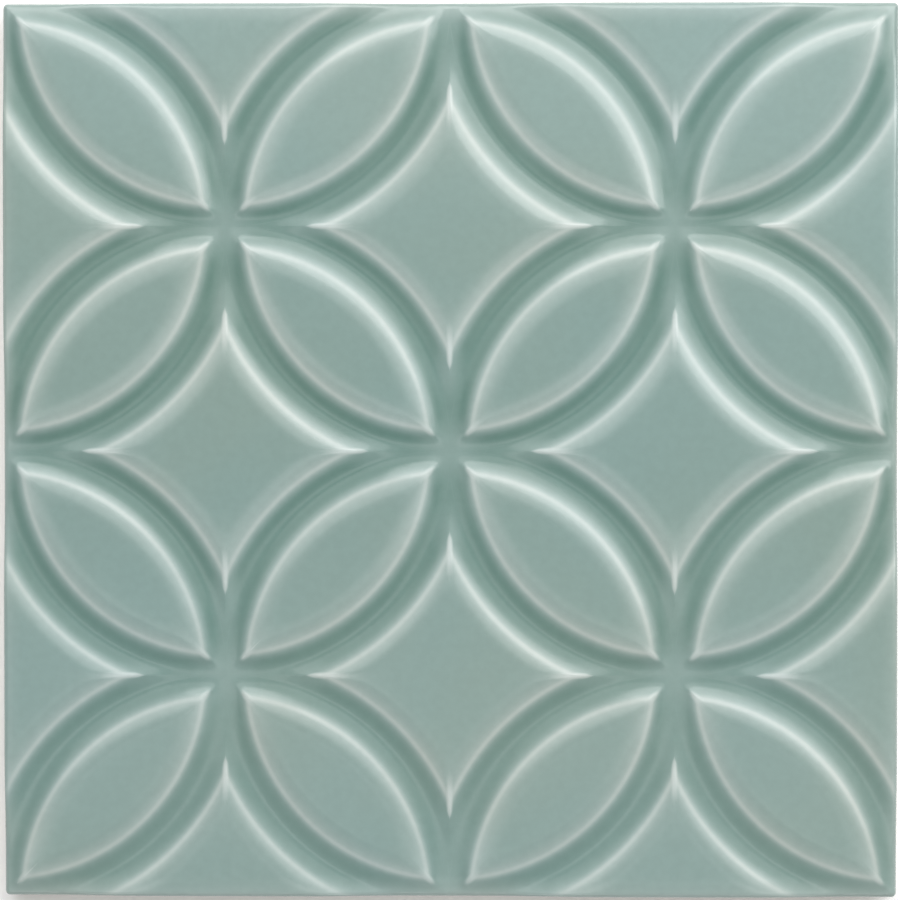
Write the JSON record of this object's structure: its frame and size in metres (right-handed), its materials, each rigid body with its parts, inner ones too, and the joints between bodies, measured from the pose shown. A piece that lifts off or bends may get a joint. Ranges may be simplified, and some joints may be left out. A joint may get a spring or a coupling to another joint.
{
  "type": "decorative ceramic tile",
  "caption": "Square glazed ceramic wall tile with raised petals and curved diamonds in an overlapping-circles relief.",
  "frame": {"origin": "middle of the back face, which lies on Z = 0", "axes": "+Z out of the glazed face, +Y to the top edge of the pattern, +X to its right edge"},
  "size_m": [0.148, 0.148, 0.009],
  "materials": {
    "glaze": "gloss"
  },
  "bodies": {
    "root": {"tile": "glaze"}
  },
  "joints": []
}
